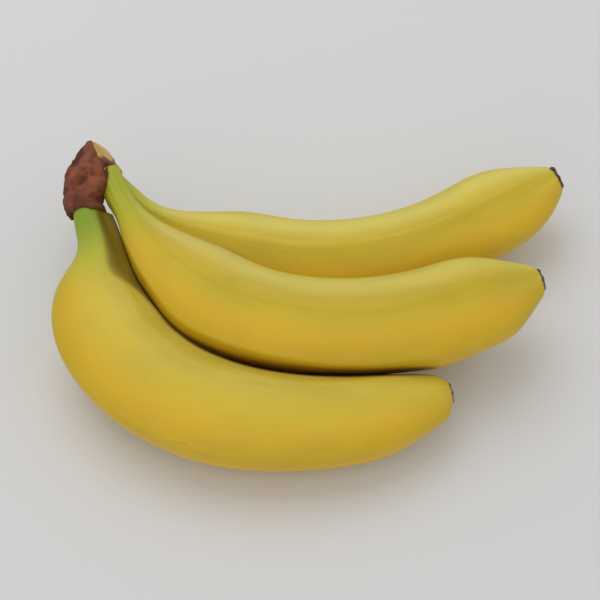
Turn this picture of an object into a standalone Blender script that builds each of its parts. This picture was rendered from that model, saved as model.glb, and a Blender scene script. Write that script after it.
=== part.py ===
"""A bunch of three ripe bananas on one crown, lying on a table. Metres and degrees, +Z up.

The crown is at -X and the blossom ends point to +X. The front and the back banana lie on the
table on their flanks, and the middle one rests in the groove between them. The origin is on
the table, under the middle of the bunch.
"""

import math
from dataclasses import dataclass

import bmesh
import bpy
from mathutils import Euler, Matrix, Vector
from mathutils.bvhtree import BVHTree

MM = 0.001

# Fits and contacts
TOUCH_GAP = 0.3 * MM  # between bananas that touch
SOCKET_GAP = 0.3 * MM  # between a neck and its socket in the crown
SEAT_DEPTH = 4 * MM  # how deep a neck sits in the crown
TABLE_PRESS = 0.4 * MM  # how far a banana's own weight flattens it on the table

# The peel: a soft five-sided section, one side of it along the outside of the bend
PEEL_SIDES = 5
RIDGE_SHARPNESS = 5  # 2 is nearly round and 20 is nearly a polygon
SECTION_POINTS = 30
STATIONS = 44
END_CROWDING = 0.6  # 0 spaces the stations evenly, and near 1 they crowd at both ends

# The dried blossom end
STUB_LENGTH = 1.4 * MM
STUB_WAIST = 0.8 * MM  # how much narrower the stub is than the fruit's end, all round

# The crown
COLLAR = 1.2 * MM  # crown around each neck
SOCKET_FLOOR = 4 * MM  # crown behind each neck
TOP_OFFSET = (-1 * MM, 13.5 * MM, 3 * MM)  # its top end, from the middle of the sockets
TOP_SIZE = (7 * MM, 9 * MM, 13 * MM)
SHOULDER_OFFSET = (-9 * MM, 3 * MM, 0 * MM)  # the swelling on the crown's outer side
SHOULDER_SIZE = (7 * MM, 13 * MM, 19 * MM)
CROWN_GRAIN = 2.1 * MM  # size of the crown's facets
CROWN_LUMP = 9 * MM  # size of its lumps
CROWN_LUMP_HEIGHT = 2.2 * MM
CUT_FACE_OFFSET = (1.9 * MM, 10.5 * MM, 7 * MM)  # where the knife passed, from the sockets' middle
CUT_FACE_HEADING = 34  # the way the cut face looks, from +X
CUT_FACE_TILT = 32  # and how far upwards

CUTTER_THICKNESS = 30 * MM  # of the blocks that cut the table's flats and the crown's cut face


@dataclass
class Banana:
    """One fruit, whose centre line bends in a plane from the crown to the blossom end."""

    name: str
    root: tuple  # x and y where the neck leaves the crown
    heading: float  # from +X, about the vertical
    rise: float  # how far its blossom end is raised
    roll: float  # 0 stands the bend upright, hollow side up, and 90 lays it on its flank
    neck_angle: float  # direction of the neck in the plane of the bend, from the heading
    bends: tuple  # (length, angle turned through) of each arc of the centre line
    neck_width: float
    thickness: float
    tip_width: float
    slim_length: float  # of neck, before it swells
    swell_length: float  # from the neck to full thickness
    taper_length: float  # from full thickness to the blossom end
    taper_power: float  # 0.5 ends round and full, and 1 ends slender
    ridge_turn: float  # turns the peel's ridges about the centre line

    @property
    def length(self):
        return sum(length for length, _ in self.bends)


FRONT = Banana(
    name="banana_front",
    root=(-86.4 * MM, 33.3 * MM),
    heading=6,
    rise=0,
    roll=78,
    neck_angle=-70,
    bends=((27.5 * MM, -29), (60 * MM, 66.5), (90 * MM, 46), (23 * MM, -15)),
    neck_width=13.2 * MM,
    thickness=40 * MM,
    tip_width=9 * MM,
    slim_length=4.5 * MM,
    swell_length=53 * MM,
    taper_length=90 * MM,
    taper_power=0.65,
    ridge_turn=26,
)
MIDDLE = Banana(
    name="banana_middle",
    root=(-77.6 * MM, 49.3 * MM),
    heading=8,
    rise=1.2,
    roll=80.5,
    neck_angle=-77,
    bends=((60.5 * MM, 29), (35.5 * MM, 27), (77.5 * MM, 35), (33 * MM, -4)),
    neck_width=9 * MM,
    thickness=37 * MM,
    tip_width=9.5 * MM,
    slim_length=13 * MM,
    swell_length=57 * MM,
    taper_length=38 * MM,
    taper_power=1.25,
    ridge_turn=0,
)
BACK = Banana(
    name="banana_back",
    root=(-81.8 * MM, 59.4 * MM),
    heading=2,
    rise=0,
    roll=72.5,
    neck_angle=-42,
    bends=((17.5 * MM, -6.5), (21 * MM, 19.5), (119.5 * MM, 52.5), (51 * MM, 9)),
    neck_width=9 * MM,
    thickness=34.6 * MM,
    tip_width=9.4 * MM,
    slim_length=17 * MM,
    swell_length=56 * MM,
    taper_length=42 * MM,
    taper_power=1.05,
    ridge_turn=0,
)
BANANAS = (FRONT, MIDDLE, BACK)


# ---------------------------------------------------------------- scene and materials


def clear_scene():
    for obj in list(bpy.data.objects):
        bpy.data.objects.remove(obj, do_unlink=True)


def material(name, colour, roughness):
    made = bpy.data.materials.new(name)
    made.use_nodes = True
    shader = made.node_tree.nodes["Principled BSDF"]
    shader.inputs["Base Color"].default_value = (*colour, 1)
    shader.inputs["Roughness"].default_value = roughness
    shader.inputs["Metallic"].default_value = 0
    return made


def add_object(name, mesh, surface=None):
    obj = bpy.data.objects.new(name, mesh)
    bpy.context.scene.collection.objects.link(obj)
    if surface:
        mesh.materials.append(surface)
    return obj


def as_cutter(obj):
    obj.hide_render = True
    obj.display_type = "WIRE"
    return obj


def cut(obj, cutter):
    """Cuts the cutter's shape out of the object."""
    boolean = obj.modifiers.new("cut_" + cutter.name, "BOOLEAN")
    boolean.operation = "DIFFERENCE"
    boolean.solver = "EXACT"
    boolean.object = cutter


def shade(mesh, sharp_angle):
    mesh.shade_smooth()
    mesh.set_sharp_from_angle(angle=math.radians(sharp_angle))


# ---------------------------------------------------------------- one banana


def smooth(share):
    """Runs from 0 to 1 with level ends."""
    share = min(max(share, 0), 1)
    return share * share * (3 - 2 * share)


def centre_line(banana, distance):
    """(point, direction angle) on the centre line in its own plane, X ahead and Z to the hollow side."""
    angle = math.radians(banana.neck_angle)
    point = Vector((0, 0, 0))
    if distance < 0:
        return Vector((math.cos(angle), 0, math.sin(angle))) * distance, angle
    for length, turn in banana.bends:
        run = min(distance, length)
        turned = math.radians(turn) * run / length
        chord = run * (math.sin(turned / 2) / (turned / 2) if turned else 1)
        middle = angle + turned / 2
        point += Vector((math.cos(middle), 0, math.sin(middle))) * chord
        angle += turned
        distance -= run
        if distance <= 0:
            break
    return point, angle


def radius_at(banana, distance):
    """Mean radius of the fruit at this distance along its centre line."""
    neck = banana.neck_width / 2
    full = banana.thickness / 2
    tip = banana.tip_width / 2
    swelling = smooth((distance - banana.slim_length) / banana.swell_length)
    taper_start = banana.length - banana.taper_length
    share = min(max((distance - taper_start) / banana.taper_length, 0), 1)
    fullness = (1 - share**2.1) ** banana.taper_power
    return tip + (neck + (full - neck) * swelling - tip) * fullness


def peel_section():
    """(angle, share of the mean radius) round the fruit, from the outside of the bend."""
    shares = []
    for step in range(SECTION_POINTS):
        angle = math.tau * step / SECTION_POINTS
        faces = [math.cos(angle - math.tau * side / PEEL_SIDES) for side in range(PEEL_SIDES)]
        total = sum(max(0, face) ** RIDGE_SHARPNESS for face in faces)
        shares.append((angle, total ** (-1 / RIDGE_SHARPNESS)))
    mean = sum(share for _, share in shares) / SECTION_POINTS
    return [(angle, share / mean) for angle, share in shares]


def stations(start, end):
    """Distances along the centre line, closer together near both ends."""
    span = end - start
    for step in range(STATIONS + 1):
        share = step / STATIONS
        crowded = share - END_CROWDING * math.sin(math.tau * share) / math.tau
        yield start + span * crowded


def banana_mesh(banana, grow=0.0):
    """The fruit as a closed mesh about the place where it leaves the crown, `grow` thicker all round."""
    rings = [(s, radius_at(banana, s)) for s in stations(-SEAT_DEPTH, banana.length)]
    stub = banana.tip_width / 2 - STUB_WAIST
    rings.append((banana.length + STUB_LENGTH / 4, stub))
    rings.append((banana.length + STUB_LENGTH, stub))
    rings = [(s, radius + grow) for s, radius in rings]
    rings[0] = (rings[0][0] - grow, rings[0][1])
    rings[-1] = (rings[-1][0] + grow, rings[-1][1])

    section = peel_section()
    turn = math.radians(banana.ridge_turn)
    shape = bmesh.new()
    loops = []
    for distance, radius in rings:
        point, angle = centre_line(banana, distance)
        hollow = Vector((-math.sin(angle), 0, math.cos(angle)))
        flank = Vector((0, 1, 0))
        loop = []
        for around, share in section:
            outward = -hollow * math.cos(around + turn) + flank * math.sin(around + turn)
            loop.append(shape.verts.new(point + outward * radius * share))
        loops.append(loop)
    for near, far in zip(loops, loops[1:]):
        for i, corner in enumerate(near):
            j = (i + 1) % SECTION_POINTS
            shape.faces.new((corner, near[j], far[j], far[i]))
    shape.faces.new(loops[0])
    shape.faces.new(loops[-1])
    bmesh.ops.recalc_face_normals(shape, faces=shape.faces)
    mesh = bpy.data.meshes.new(banana.name)
    shape.to_mesh(mesh)
    shape.free()
    shade(mesh, 50)
    return mesh


def attitude(banana):
    return Euler([math.radians(angle) for angle in (-banana.roll, -banana.rise, banana.heading)])


# ---------------------------------------------------------------- how the bananas rest


def world_points(mesh, banana, place):
    turn = attitude(banana).to_matrix()
    return [turn @ vertex.co + place for vertex in mesh.vertices]


def tree_of(mesh, banana, place):
    faces = [tuple(face.vertices) for face in mesh.polygons]
    return BVHTree.FromPolygons(world_points(mesh, banana, place), faces)


def place_on_table(banana, mesh):
    """Where the banana's root is when its lowest point presses just into the table."""
    place = Vector((*banana.root, 0))
    lowest = min(point.z for point in world_points(mesh, banana, place))
    return place - Vector((0, 0, lowest + TABLE_PRESS))


def bisect(low, high, is_low, steps=14):
    """The value between low and high where is_low turns from true to false."""
    for _ in range(steps):
        middle = (low + high) / 2
        if is_low(middle):
            low = middle
        else:
            high = middle
    return (low + high) / 2


def place_in_groove(banana, swollen, front, back):
    """Where the banana's root is when it lies in the groove between two others.

    It is let down on each of them alone, further to the front or the back, until both hold it
    at one height. `swollen` is its mesh grown by the gap that touching bananas keep."""
    reach = banana.thickness

    def resting_height(y, support):
        def blocked(z):
            moved = tree_of(swollen, banana, Vector((banana.root[0], y, z)))
            return bool(moved.overlap(support))

        high = 4 * reach
        while not blocked(high) and high > -reach:
            high -= reach / 8
        return bisect(high, high + reach / 8, blocked)

    def leans_on_front(y):
        return resting_height(y, front) > resting_height(y, back)

    y = bisect(banana.root[1] - reach / 2, banana.root[1] + reach / 2, leans_on_front)
    return Vector((banana.root[0], y, max(resting_height(y, front), resting_height(y, back))))


# ---------------------------------------------------------------- the crown


def ring_points(banana, place, distance, radius):
    """A ring of points round the neck, in the world."""
    turn = attitude(banana).to_matrix()
    point, angle = centre_line(banana, distance)
    hollow = Vector((-math.sin(angle), 0, math.cos(angle)))
    for step in range(SECTION_POINTS):
        around = math.tau * step / SECTION_POINTS
        outward = hollow * math.cos(around) + Vector((0, 1, 0)) * math.sin(around)
        yield turn @ (point + outward * radius) + place


def block_points(centre, size):
    for x in (-0.5, 0.5):
        for y in (-0.5, 0.5):
            for z in (-0.5, 0.5):
                yield centre + Vector((x * size[0], y * size[1], z * size[2]))


def crown_mesh(places, sockets):
    """The lump that wraps every neck, with its swollen shoulder and its top end."""
    shape = bmesh.new()
    for banana in BANANAS:
        radius = banana.neck_width / 2 + COLLAR
        for distance in (0, -SEAT_DEPTH - SOCKET_FLOOR):
            for point in ring_points(banana, places[banana.name], distance, radius):
                shape.verts.new(point)
    for offset, size in ((TOP_OFFSET, TOP_SIZE), (SHOULDER_OFFSET, SHOULDER_SIZE)):
        for point in block_points(sockets + Vector(offset), size):
            shape.verts.new(point)
    hull = bmesh.ops.convex_hull(shape, input=shape.verts)
    loose = [item for item in hull["geom_interior"] if isinstance(item, bmesh.types.BMVert)]
    bmesh.ops.delete(shape, geom=loose, context="VERTS")
    mesh = bpy.data.meshes.new("crown")
    shape.to_mesh(mesh)
    shape.free()
    return mesh


def roughen(obj):
    """Turns the smooth hull into an uneven, knobbly lump."""
    remesh = obj.modifiers.new("even_facets", "REMESH")
    remesh.mode = "VOXEL"
    remesh.voxel_size = CROWN_GRAIN
    remesh.use_smooth_shade = True
    soften = obj.modifiers.new("soften", "SMOOTH")
    soften.factor = 0.5
    soften.iterations = 4
    lumps = bpy.data.textures.new("lumps", "CLOUDS")
    lumps.noise_scale = CROWN_LUMP
    lumps.noise_depth = 1
    displace = obj.modifiers.new("lumps", "DISPLACE")
    displace.texture = lumps
    displace.texture_coords = "GLOBAL"
    displace.mid_level = 0.5
    displace.strength = CROWN_LUMP_HEIGHT


def block_cutter(name, size, middle):
    """A cutting block whose own origin is `middle` away from its centre."""
    shape = bmesh.new()
    bmesh.ops.create_cube(shape, size=1)
    mesh = bpy.data.meshes.new(name)
    shape.to_mesh(mesh)
    shape.free()
    mesh.transform(Matrix.Translation(middle) @ Matrix.Diagonal((*size, 1)))
    return as_cutter(add_object(name, mesh))


def stalk_knife(sockets):
    """What was cut away when the bunch was taken off its stalk."""
    size = CUTTER_THICKNESS
    knife = block_cutter("stalk_knife", (size, 2 * size, 2 * size), (size / 2, 0, 0))
    knife.location = sockets + Vector(CUT_FACE_OFFSET)
    knife.rotation_euler = (0, -math.radians(CUT_FACE_TILT), math.radians(CUT_FACE_HEADING))
    return knife


# ---------------------------------------------------------------- the bunch


def table_slab():
    """The table's top layer, which flattens what presses on it."""
    width = 4 * max(banana.length for banana in BANANAS)
    size = (width, width, CUTTER_THICKNESS)
    return block_cutter("table_slab", size, (0, 0, -CUTTER_THICKNESS / 2))


def bottom_centre(objects):
    """The middle of the objects' own box, on the table."""
    bpy.context.view_layer.update()
    graph = bpy.context.evaluated_depsgraph_get()
    points = []
    for obj in objects:
        shaped = obj.evaluated_get(graph)
        points += [shaped.matrix_world @ vertex.co for vertex in shaped.data.vertices]
    middle = [(min(axis) + max(axis)) / 2 for axis in zip(*points)]
    return Vector((middle[0], middle[1], 0))


def main():
    clear_scene()
    peel = material("peel", (0.62, 0.44, 0.045), 0.42)
    bark = material("dried_stem", (0.12, 0.045, 0.02), 0.85)

    meshes = {banana.name: banana_mesh(banana) for banana in BANANAS}
    places = {banana.name: place_on_table(banana, meshes[banana.name]) for banana in (FRONT, BACK)}
    front_tree, back_tree = (
        tree_of(meshes[banana.name], banana, places[banana.name]) for banana in (FRONT, BACK)
    )
    swollen = banana_mesh(MIDDLE, TOUCH_GAP)
    places[MIDDLE.name] = place_in_groove(MIDDLE, swollen, front_tree, back_tree)
    bpy.data.meshes.remove(swollen)

    bunch = bpy.data.objects.new("bunch", None)
    bpy.context.scene.collection.objects.link(bunch)
    slab = table_slab()
    sockets = sum(places.values(), Vector((0, 0, 0))) / len(places)
    crown = add_object("crown", crown_mesh(places, sockets), bark)
    roughen(crown)
    knife = stalk_knife(sockets)
    cut(crown, knife)
    parts = [crown]
    for banana in BANANAS:
        fruit = add_object(banana.name, meshes[banana.name], peel)
        socket = as_cutter(add_object(banana.name + "_socket", banana_mesh(banana, SOCKET_GAP)))
        for obj in (fruit, socket):
            obj.location = places[banana.name]
            obj.rotation_euler = attitude(banana)
            obj.parent = bunch
        cut(crown, socket)
        if banana is not MIDDLE:
            cut(fruit, slab)
        parts.append(fruit)
    crown.parent = bunch
    knife.parent = bunch
    bunch.location = -bottom_centre(parts)


main()
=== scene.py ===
"""The looks of a bunch of three ripe bananas on one dried crown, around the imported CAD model.

Metres and degrees, +Z up. Each fruit is rebuilt as a fine grid from its own CAD solid: rays from
the centre line measure the solid, and the peel's ridges, wrinkles and pleats are added to that.
The crown is remeshed finely and carved, and each blossom end gets its dried remains.
"""

import heapq
import math
from dataclasses import dataclass

import bmesh
import bpy
import numpy as np
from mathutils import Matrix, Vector, noise
from mathutils.bvhtree import BVHTree


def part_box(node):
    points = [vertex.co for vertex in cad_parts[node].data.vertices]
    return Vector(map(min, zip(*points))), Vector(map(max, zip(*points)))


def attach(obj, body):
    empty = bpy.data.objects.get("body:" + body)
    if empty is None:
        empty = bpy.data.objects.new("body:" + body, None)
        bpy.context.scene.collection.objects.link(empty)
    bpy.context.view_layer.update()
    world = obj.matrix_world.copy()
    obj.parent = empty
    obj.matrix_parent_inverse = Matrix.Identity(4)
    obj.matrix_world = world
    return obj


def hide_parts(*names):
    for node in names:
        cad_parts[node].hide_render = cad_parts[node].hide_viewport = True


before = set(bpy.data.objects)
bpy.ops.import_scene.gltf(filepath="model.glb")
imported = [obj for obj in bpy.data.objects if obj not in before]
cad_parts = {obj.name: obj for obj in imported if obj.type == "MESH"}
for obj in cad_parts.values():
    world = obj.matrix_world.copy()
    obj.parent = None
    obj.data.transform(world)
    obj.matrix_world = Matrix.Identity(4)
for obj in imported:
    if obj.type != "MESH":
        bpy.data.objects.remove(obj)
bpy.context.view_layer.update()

MM = 0.001
BODY = "root"
WELD = 0.005 * MM  # CAD vertices nearer than this are one
TINY = 1e-9
NOISE_SHIFT = (17.3, -9.1, 5.7)  # for each seed
CREASE_SHARPNESS = 3
SEED_STEP = 20  # between two fruits

# The grid of one peel
RINGS = 420
SEGMENTS = 144
ROUGH_STATIONS = 60  # when the centre line is first found
ROUGH_SEGMENTS = 24
ROUGH_GROUP = 3  # a slice needs more points than this to count
FINE_STATIONS = 3 * RINGS
CENTRING_ROUNDS = 4
CENTRING_MARGIN = 2  # stations left out at each end, where the fruit closes
SMOOTH_BODY = 5.0 * MM  # evens out the CAD facets along the fruit
SMOOTH_ENDS = 1.6 * MM
CLOSE_ENDS = (18 * MM, 6 * MM)  # from the blossom end, where the finer smoothing takes over
HARMONICS = 9  # kept of the outline round the fruit
CAD_STUB = 1.4 * MM  # the dried end on the CAD solid, which gets a piece of its own
PEEL_RADIUS = 19 * MM  # typical, for the scale of marks round the fruit
TIP_RINGS = 20  # of the grid's rings, in the last stretch of the peel
TIP_STRETCH = 5 * MM

# Where the marks of growth show: they fade in or out between two distances
BODY_START = (12 * MM, 45 * MM)  # from the crown
SWELL_START = (4.5 * MM, 10 * MM)
NECK_FOLD_REACH = (48 * MM, 10 * MM)
BODY_END = (3 * MM, 22 * MM)  # from the blossom end
TIP_PLEAT_REACH = (16 * MM, 3 * MM)
END_GROWTH_REACH = (25 * MM, 0)

# Relief of the peel. A layer is (height, size round the fruit, size along it, seed)
PEEL_SIDES = 5
FACET_DEPTH = 2.0 * MM  # of a side one fifth of the way round
FACET_POWER = 1.3  # 1 makes the ridges between the sides sharp, and 2 makes them round
FACET_GROWTH = 1.5  # how fast a side gets deeper as it gets wider
FACET_SHARE = 0.3  # of their depth that the facets keep at the ends
RIDGE_SHARE = 0.25  # of their height that the ridges keep there
RIDGE_HEIGHT = 0.34 * MM
RIDGE_HEIGHTS = (0.7, 1.1)  # a ridge's least and most share of that
RIDGE_WIDTH = math.radians(9)
RIDGE_WANDER = math.radians(2.5)
RIDGE_WANDER_LENGTH = 45 * MM
# Width of the tinted band along each ridge, partly painted shade
RIDGE_TINT_WIDTH = math.radians(20)
LUMPS = (0.38 * MM, 26 * MM, 40 * MM, 1)
RIPPLES = (0.09 * MM, 7 * MM, 18 * MM, 2)
NECK_FOLDS = (0.10 * MM, 4.5 * MM, 26 * MM, 3)
TIP_PLEATS = (0.38 * MM, 3.4 * MM, 30 * MM, 4)
TABLE_GAP = 0.02 * MM  # between the peel and the table

# Shallow knocks from handling
DENTS = 5
DENT_DEPTH = 0.3 * MM
DENT_DEPTHS = (0.4, 1)  # a dent's least and most share of that
DENT_PLACES = (0.2, 0.9)  # shares of the fruit's length
DENT_SIZES = (3 * MM, 6 * MM)
DENT_LENGTHENING = 0.6  # 1 makes them round

# What the peel does beside other fruits and bark
TOUCH = -0.05 * MM  # between two peels that have grown together
ROOM_REACH = 16 * MM
NECK_SHARE_REACH = (36 * MM, 22 * MM)  # where the neck's own share of the room takes over
CREASE_SHADE_ROOM = (8.0 * MM, 0.3 * MM)  # the painted shade of the crease starts and is full at these gaps
BARK_SQUEEZE = 0.14  # of a neck inside the bark, so that it doesn't show through
BARK_SQUEEZE_START = 2.5 * MM  # back from the bark's edge
BARK_SQUEEZE_FULL = 4.5 * MM

# The inner side of a neck beside the next fruit, darkened with painted shade: angles round the peel
NECK_SHADE_MIDDLE = math.radians(198)
NECK_SHADE_WIDTH = math.radians(43)  # to each side, at the neck
NECK_SHADE_END = math.radians(6)  # and where it has narrowed to
NECK_SHADE_EDGE = math.radians(7)
NECK_SHADE_WAVER = (math.radians(5), 6 * MM, 16 * MM, 6)  # a layer, of its edge
NECK_SHADE_REACH = (62 * MM, 30 * MM)  # it narrows between these distances from the crown


@dataclass
class Looks:
    """What is particular to one fruit. Its angles are in degrees round the peel from the outside
    of the bend, with the table near +90, and its places are distances from the crown."""

    ridges: tuple
    swellings: tuple  # (angle, spread, place, length, height), in degrees and millimetres
    room_share: float  # of the way to its neighbours, which it may grow across
    neck_share: float  # the same beside its neck
    neck_start: float  # hidden inside the crown up to here
    plug: tuple  # of bark: (reach, share of the neck's thickness, shortening outside the bend)
    end_growth: float  # lengthens the blossom end
    shoulder: tuple  # rounds the peel over at the dried end: (length, squeeze)
    brightness: float  # of its peel beside the others: partly its own tone and partly painted light, the back fruit lightened where it lies in shade
    neck_shade: float  # how strongly painted shade darkens the side of its neck beside its neighbour
    green_reach: float
    green_strength: float
    blossom_size: float  # of its dried end, beside a large one


LOOKS = {
    "banana_front": Looks(
        ridges=(-126, -27, 45, 110, 172),
        swellings=(
            (180, 52, 34, 20, 4.0),
            (157, 26, 15, 12, 6.5),
            (157, 30, 30, 14, 5.5),
            (206, 24, 20, 16, -1.8),
            (262, 16, 20, 16, 0.8),
            (190, 55, 75, 34, 3.6),
            (0, 50, 26, 9, -2.4),
            (0, 60, 46, 13, 0.9),
            (-5, 45, 106, 22, 1.0),
            (10, 55, 180, 24, 3.3),
            (180, 50, 193, 12, -1.0),
        ),
        room_share=0.68,
        neck_share=0.66,
        neck_start=0.5 * MM,
        plug=(7.5 * MM, 1.12, 4.5 * MM),
        end_growth=2.6 * MM,
        shoulder=(4.5 * MM, 0.36),
        brightness=0.965,
        neck_shade=0.95,
        green_reach=34 * MM,
        green_strength=1.0,
        blossom_size=0.3,
    ),
    "banana_middle": Looks(
        ridges=(-94, -24, 48, 120, 192),
        swellings=(
            (10, 52, 50, 15, 5.0),
            (0, 60, 90, 30, 2.2),
            (22, 40, 12, 8, 2.2),
            (10, 55, 158, 18, 2.4),
            (0, 50, 191, 13, 3.8),
        ),
        room_share=0.32,
        neck_share=0.34,
        neck_start=3.0 * MM,
        plug=(4.3 * MM, 1.06, 0.0),
        end_growth=0.5 * MM,
        shoulder=(2.2 * MM, 0.26),
        brightness=0.965,
        neck_shade=0.0,
        green_reach=30 * MM,
        green_strength=0.35,
        blossom_size=0.6,
    ),
    "banana_back": Looks(
        ridges=(-100, -30, 42, 114, 186),
        swellings=(
            (180, 50, 70, 24, 0.7),
            (180, 55, 190, 17, 1.9),
            (0, 50, 195, 15, 2.6),
        ),
        room_share=0.32,
        neck_share=0.32,
        neck_start=0.5 * MM,
        plug=(5 * MM, 1.0, 0.0),
        end_growth=1.4 * MM,
        shoulder=(1.4 * MM, 0.2),
        brightness=1.03,
        neck_shade=0.0,
        green_reach=30 * MM,
        green_strength=0.45,
        blossom_size=1.0,
    ),
}

# Camera: a portrait lens looking down on the bunch
LENS = 85
SENSOR = 36
CAMERA_ELEVATION = 58
CAMERA_DISTANCE = 566.7 * MM
AIM = Vector((-6.4, 2.1, 25)) * MM

rng = np.random.default_rng(12)


# ---------------------------------------------------------------- small helpers


def unit(vector):
    return vector / np.linalg.norm(vector)


def fade(value, start, end):
    """0 before start and 1 after end, or the other way round when start is the larger."""
    share = np.clip((value - start) / (end - start), 0, 1)
    return share * share * (3 - 2 * share)


def hill(distance, width):
    """A smooth hill, 1 at no distance."""
    return np.exp(-((distance / width) ** 2))


def angle_between(a, b):
    """Signed smallest turn from b to a."""
    return (a - b + math.pi) % math.tau - math.pi


def noise_at(points, size, seed=0):
    """Smooth noise, about -1 to 1, with features of this size, at rows of points."""
    shift = Vector([seed * step for step in NOISE_SHIFT])
    flat = np.asarray(points).reshape(-1, 3) / size
    values = [noise.noise(Vector(point) + shift) for point in flat]
    return np.array(values).reshape(np.asarray(points).shape[:-1])


def creases_at(points, size, seed=0):
    """Noise that is 1 on thin winding lines and falls to 0 between them."""
    return 1 - np.clip(np.abs(noise_at(points, size, seed)) * CREASE_SHARPNESS, 0, 1)


def smooth_rows(values, spacing, width):
    """Gaussian smoothing along the first axis, with the ends carried on in a straight line."""
    reach = max(1, math.ceil(3 * width / spacing))
    weights = np.exp(-0.5 * (np.arange(-reach, reach + 1) * spacing / width) ** 2)
    weights /= weights.sum()
    before = 2 * values[0] - values[1 : reach + 1][::-1]
    after = 2 * values[-1] - values[-reach - 1 : -1][::-1]
    padded = np.concatenate([before, values, after])
    return sum(weight * padded[i : i + len(values)] for i, weight in enumerate(weights))


def new_object(name, mesh):
    obj = bpy.data.objects.new(name, mesh)
    bpy.context.scene.collection.objects.link(obj)
    return obj


def grid_mesh(name, rings):
    """A tube from an array of rings of points, with its ends closed by fans."""
    count, around = rings.shape[:2]
    middles = np.array([rings[0].mean(0), rings[-1].mean(0)])
    points = np.concatenate([rings.reshape(-1, 3), middles])
    index = np.arange(count * around).reshape(count, around)
    turned = np.roll(index, -1, axis=1)
    faces = np.stack([index[:-1], turned[:-1], turned[1:], index[1:]], axis=-1).reshape(-1, 4).tolist()
    first, last = count * around, count * around + 1
    faces += [(turned[0, i], index[0, i], first) for i in range(around)]
    faces += [(index[-1, i], turned[-1, i], last) for i in range(around)]
    mesh = bpy.data.meshes.new(name)
    mesh.from_pydata(points.tolist(), [], faces)
    mesh.validate()
    mesh.shade_smooth()
    return mesh


def set_attribute(mesh, name, values):
    """Stores one number or one vector for each vertex."""
    values = np.asarray(values, np.float32)
    kind, field = ("FLOAT_VECTOR", "vector") if values.ndim == 2 else ("FLOAT", "value")
    attribute = mesh.attributes.new(name, kind, "POINT")
    attribute.data.foreach_set(field, values.ravel())


def set_grid_attribute(mesh, name, grid):
    """The same for a grid's points, with the middles of its two end fans."""
    rows = grid.reshape(-1, *grid.shape[2:])
    set_attribute(mesh, name, np.concatenate([rows, [grid[0].mean(0), grid[-1].mean(0)]]))


def add_piece(name, mesh, slot, surface, *replaced):
    """A visible piece of the bunch."""
    piece = new_object(name, mesh)
    mesh.materials.append(surface)
    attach(piece, BODY)
    if replaced:
        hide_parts(*replaced)


# ---------------------------------------------------------------- material graphs


class Graph:
    """A short way to write a material's nodes."""

    def __init__(self, name):
        self.material = bpy.data.materials.new(name)
        self.material.use_nodes = True
        self.tree = self.material.node_tree
        self.shader = self.tree.nodes["Principled BSDF"]

    def node(self, kind, inputs, **settings):
        made = self.tree.nodes.new(kind)
        for key, value in settings.items():
            setattr(made, key, value)
        for key, value in inputs.items():
            self.set(made.inputs[key], value)
        return made

    def set(self, socket, value):
        if isinstance(value, bpy.types.NodeSocket):
            self.tree.links.new(value, socket)
        elif isinstance(value, tuple) and socket.type == "RGBA":
            socket.default_value = (*value, 1)
        else:
            socket.default_value = value

    def attribute(self, name, output="Fac"):
        return self.node("ShaderNodeAttribute", {}, attribute_name=name).outputs[output]

    def math(self, operation, a, b, c=0.0):
        return self.node("ShaderNodeMath", {0: a, 1: b, 2: c}, operation=operation).outputs[0]

    def stretch(self, vector, along):
        """Coordinates for marks longer along the third one: along a fruit, or up the crown."""
        inputs = {0: vector, 1: (1, 1, 1 / along)}
        return self.node("ShaderNodeVectorMath", inputs, operation="MULTIPLY").outputs[0]

    def noise(self, vector, size, detail, rough=0.5):
        inputs = {"Vector": vector, "Scale": 1 / size, "Detail": detail, "Roughness": rough}
        return self.node("ShaderNodeTexNoise", inputs).outputs[0]

    def long_noise(self, vector, pattern, detail, rough=0.5):
        """Noise in a pattern's size and stretch."""
        size, along = pattern
        return self.noise(self.stretch(vector, along), size, detail, rough)

    def spots(self, vector, size):
        """Distance from scattered middles, in shares of the size."""
        inputs = {"Vector": vector, "Scale": 1 / size}
        return self.node("ShaderNodeTexVoronoi", inputs).outputs["Distance"]

    def between(self, value, low, high, to_low=0.0, to_high=1.0):
        """Eases from to_low at low to to_high at high."""
        inputs = {0: value, 1: low, 2: high, 3: to_low, 4: to_high}
        return self.node("ShaderNodeMapRange", inputs, interpolation_type="SMOOTHSTEP").outputs[0]

    def mix(self, factor, a, b, blend="MIX"):
        made = self.node("ShaderNodeMix", {}, data_type="RGBA", blend_type=blend)
        self.set(made.inputs[0], factor)
        self.set(made.inputs[6], a)
        self.set(made.inputs[7], b)
        return made.outputs[2]

    def bump(self, height, distance, strength, normal=None):
        inputs = {"Height": height, "Distance": distance, "Strength": strength}
        if normal:
            inputs["Normal"] = normal
        return self.node("ShaderNodeBump", inputs).outputs[0]

    def finish(self, colour, roughness, normal, gloss=0.5):
        self.set(self.shader.inputs["Specular IOR Level"], gloss)
        self.set(self.shader.inputs["Base Color"], colour)
        self.set(self.shader.inputs["Roughness"], roughness)
        self.set(self.shader.inputs["Normal"], normal)
        return self.material


# ---------------------------------------------------------------- reading a fruit from its solid


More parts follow.
